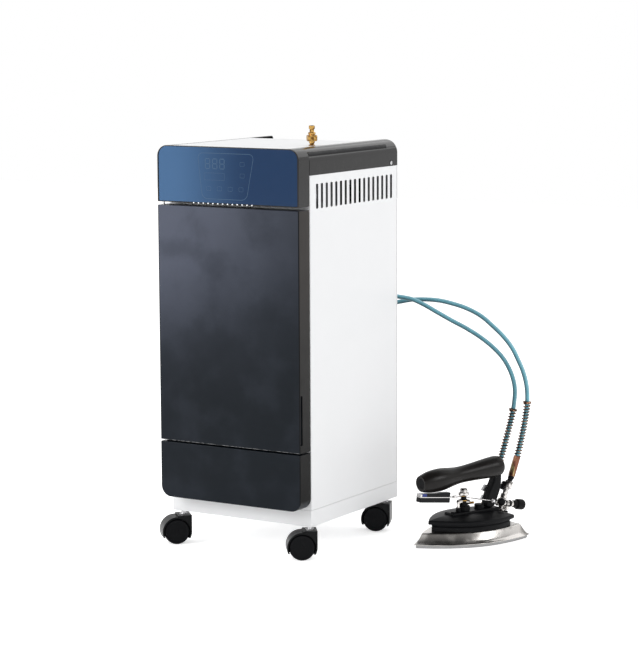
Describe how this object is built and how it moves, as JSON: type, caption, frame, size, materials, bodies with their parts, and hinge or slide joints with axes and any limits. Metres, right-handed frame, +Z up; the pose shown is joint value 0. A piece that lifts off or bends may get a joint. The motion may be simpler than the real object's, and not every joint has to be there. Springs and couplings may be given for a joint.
{
  "type": "garment finishing machine",
  "caption": "Upright steam generator cabinet on twin-wheel casters, with a steam iron on two hoses with spring guards.",
  "frame": {"origin": "bottom centre of the bounding box of everything but the hoses and what is on them, on the floor", "axes": "+Z up; the cabinet's front faces -Y and its right side, where the iron stands, +X"},
  "size_m": [0.5272, 0.4058, 0.6858],
  "materials": {
    "white_paint": "semi-gloss white powder coat",
    "black_rail": "glossy dark grey moulding",
    "steel": "plain",
    "blue_glass": "dark blue back-printed touch glass",
    "board_green": "solder mask",
    "charcoal_door": "satin charcoal moulding",
    "brass": "turned and bright",
    "insulation": "woven insulation",
    "tank_plastic": "translucent white",
    "black_plastic": "fine-grained black",
    "caster_nylon": "black nylon",
    "cast_aluminium": "machined casting",
    "polished_steel": "polished",
    "grip_plastic": "dark brown-black phenolic",
    "spring_copper": "coppered wire",
    "hose_teal": "braided sleeve"
  },
  "bodies": {
    "cabinet": {"base_tray": "white_paint", "front_frame": "white_paint", "side_panel_right": "white_paint", "side_panel_left": "white_paint", "rear_panel": "white_paint", "top_panel": "white_paint", "top_rail_right": "black_rail", "top_rail_left": "black_rail", "rail_screw_right": "steel", "rail_screw_left": "steel", "control_housing": "black_rail", "control_glass": "blue_glass", "display_board": "board_green", "lower_front_panel": "charcoal_door", "door_hinge_pin_upper": "steel", "door_hinge_pin_lower": "steel", "relief_valve": "brass", "boiler": "steel", "induction_jacket": "insulation", "water_tank": "tank_plastic", "feed_pump": "black_plastic", "suction_pipe": "steel", "feed_pipe": "steel", "steam_solenoid": "brass", "power_board": "board_green", "fan_frame": "black_plastic", "rear_manifold": "brass", "cable_gland": "black_plastic", "steam_pipe": "steel", "return_pipe": "steel", "steam_hose": "hose_teal", "return_hose": "hose_teal"},
    "front_door": {"front_door": "charcoal_door"},
    "tank_cap": {"tank_cap": "black_plastic"},
    "fan": {"fan_rotor": "black_plastic"},
    "caster_front_right": {"caster_front_right_hood": "caster_nylon"},
    "caster_front_right_wheel_outer": {"caster_front_right_wheel_outer": "caster_nylon"},
    "caster_front_right_wheel_inner": {"caster_front_right_wheel_inner": "caster_nylon"},
    "caster_front_left": {"caster_front_left_hood": "caster_nylon"},
    "caster_front_left_wheel_outer": {"caster_front_left_wheel_outer": "caster_nylon"},
    "caster_front_left_wheel_inner": {"caster_front_left_wheel_inner": "caster_nylon"},
    "caster_back_right": {"caster_back_right_hood": "caster_nylon"},
    "caster_back_right_wheel_outer": {"caster_back_right_wheel_outer": "caster_nylon"},
    "caster_back_right_wheel_inner": {"caster_back_right_wheel_inner": "caster_nylon"},
    "caster_back_left": {"caster_back_left_hood": "caster_nylon"},
    "caster_back_left_wheel_outer": {"caster_back_left_wheel_outer": "caster_nylon"},
    "caster_back_left_wheel_inner": {"caster_back_left_wheel_inner": "caster_nylon"},
    "iron": {"iron_soleplate": "cast_aluminium", "iron_shell": "polished_steel", "iron_cover": "black_plastic", "iron_grip": "grip_plastic", "iron_post": "black_plastic", "iron_steam_valve": "polished_steel", "iron_inlet_valve": "polished_steel", "iron_return_fitting": "brass", "steam_hose_spring": "spring_copper", "return_hose_spring": "spring_copper", "steam_hose_ferrule": "spring_copper"},
    "iron_trigger": {"iron_trigger": "black_plastic"},
    "iron_inlet_knob": {"iron_inlet_knob": "black_plastic"}
  },
  "joints": [
    {"name": "door_hinge", "type": "hinge", "parent": "cabinet", "child": "front_door", "pos_m": [-0.22545, -0.18579, 0.1754], "axis": [0, 0, -1], "range_deg": [0, 105]},
    {"name": "tank_cap_turn", "type": "hinge", "parent": "cabinet", "child": "tank_cap", "pos_m": [-0.17045, -0.09439, 0.3038], "axis": [0, 0, 1], "range_deg": [0, 360]},
    {"name": "fan_spin", "type": "hinge", "parent": "cabinet", "child": "fan", "pos_m": [0.02764, -0.02439, 0.576], "axis": [1, 0, 0], "continuous": true},
    {"name": "caster_front_right_swivel", "type": "hinge", "parent": "cabinet", "child": "caster_front_right", "pos_m": [0.02855, -0.15649, 0.0522], "axis": [0, 0, 1], "continuous": true},
    {"name": "caster_front_right_wheel_outer_spin", "type": "hinge", "parent": "caster_front_right", "child": "caster_front_right_wheel_outer", "pos_m": [0.01809, -0.16422, 0.0208], "axis": [0.5948, -0.8039, 0], "continuous": true},
    {"name": "caster_front_right_wheel_inner_spin", "type": "hinge", "parent": "caster_front_right", "child": "caster_front_right_wheel_inner", "pos_m": [0.01809, -0.16422, 0.0208], "axis": [0.5948, -0.8039, 0], "continuous": true},
    {"name": "caster_front_left_swivel", "type": "hinge", "parent": "cabinet", "child": "caster_front_left", "pos_m": [-0.21196, -0.16099, 0.0522], "axis": [0, 0, 1], "continuous": true},
    {"name": "caster_front_left_wheel_outer_spin", "type": "hinge", "parent": "caster_front_left", "child": "caster_front_left_wheel_outer", "pos_m": [-0.22123, -0.1701, 0.0208], "axis": [0.7009, -0.7133, 0], "continuous": true},
    {"name": "caster_front_left_wheel_inner_spin", "type": "hinge", "parent": "caster_front_left", "child": "caster_front_left_wheel_inner", "pos_m": [-0.22123, -0.1701, 0.0208], "axis": [0.7009, -0.7133, 0], "continuous": true},
    {"name": "caster_back_right_swivel", "type": "hinge", "parent": "cabinet", "child": "caster_back_right", "pos_m": [0.02724, 0.08341, 0.0522], "axis": [0, 0, 1], "continuous": true},
    {"name": "caster_back_right_wheel_outer_spin", "type": "hinge", "parent": "caster_back_right", "child": "caster_back_right_wheel_outer", "pos_m": [0.01524, 0.07844, 0.0208], "axis": [0.3827, -0.9239, 0], "continuous": true},
    {"name": "caster_back_right_wheel_inner_spin", "type": "hinge", "parent": "caster_back_right", "child": "caster_back_right_wheel_inner", "pos_m": [0.01524, 0.07844, 0.0208], "axis": [0.3827, -0.9239, 0], "continuous": true},
    {"name": "caster_back_left_swivel", "type": "hinge", "parent": "cabinet", "child": "caster_back_left", "pos_m": [-0.22315, 0.08341, 0.0522], "axis": [0, 0, 1], "continuous": true},
    {"name": "caster_back_left_wheel_outer_spin", "type": "hinge", "parent": "caster_back_left", "child": "caster_back_left_wheel_outer", "pos_m": [-0.23441, 0.07691, 0.0208], "axis": [0.5, -0.866, 0], "continuous": true},
    {"name": "caster_back_left_wheel_inner_spin", "type": "hinge", "parent": "caster_back_left", "child": "caster_back_left_wheel_inner", "pos_m": [-0.23441, 0.07691, 0.0208], "axis": [0.5, -0.866, 0], "continuous": true},
    {"name": "iron_lift", "type": "slide", "parent": "cabinet", "child": "iron", "axis": [0, 0, 1], "range_m": [0, 0.12], "deforming": ["steam_hose", "return_hose"]},
    {"name": "iron_trigger_squeeze", "type": "hinge", "parent": "iron", "child": "iron_trigger", "pos_m": [0.20917, 0.1242, 0.0615], "axis": [-0.915, 0.4035, 0], "range_deg": [0, 0.5], "stiffness_Nm_per_rad": 10},
    {"name": "iron_knob_turn", "type": "hinge", "parent": "iron", "child": "iron_inlet_knob", "pos_m": [0.22115, 0.1754, 0.04843], "axis": [0.3968, 0.8996, -0.1822], "range_deg": [0, 360]}
  ]
}
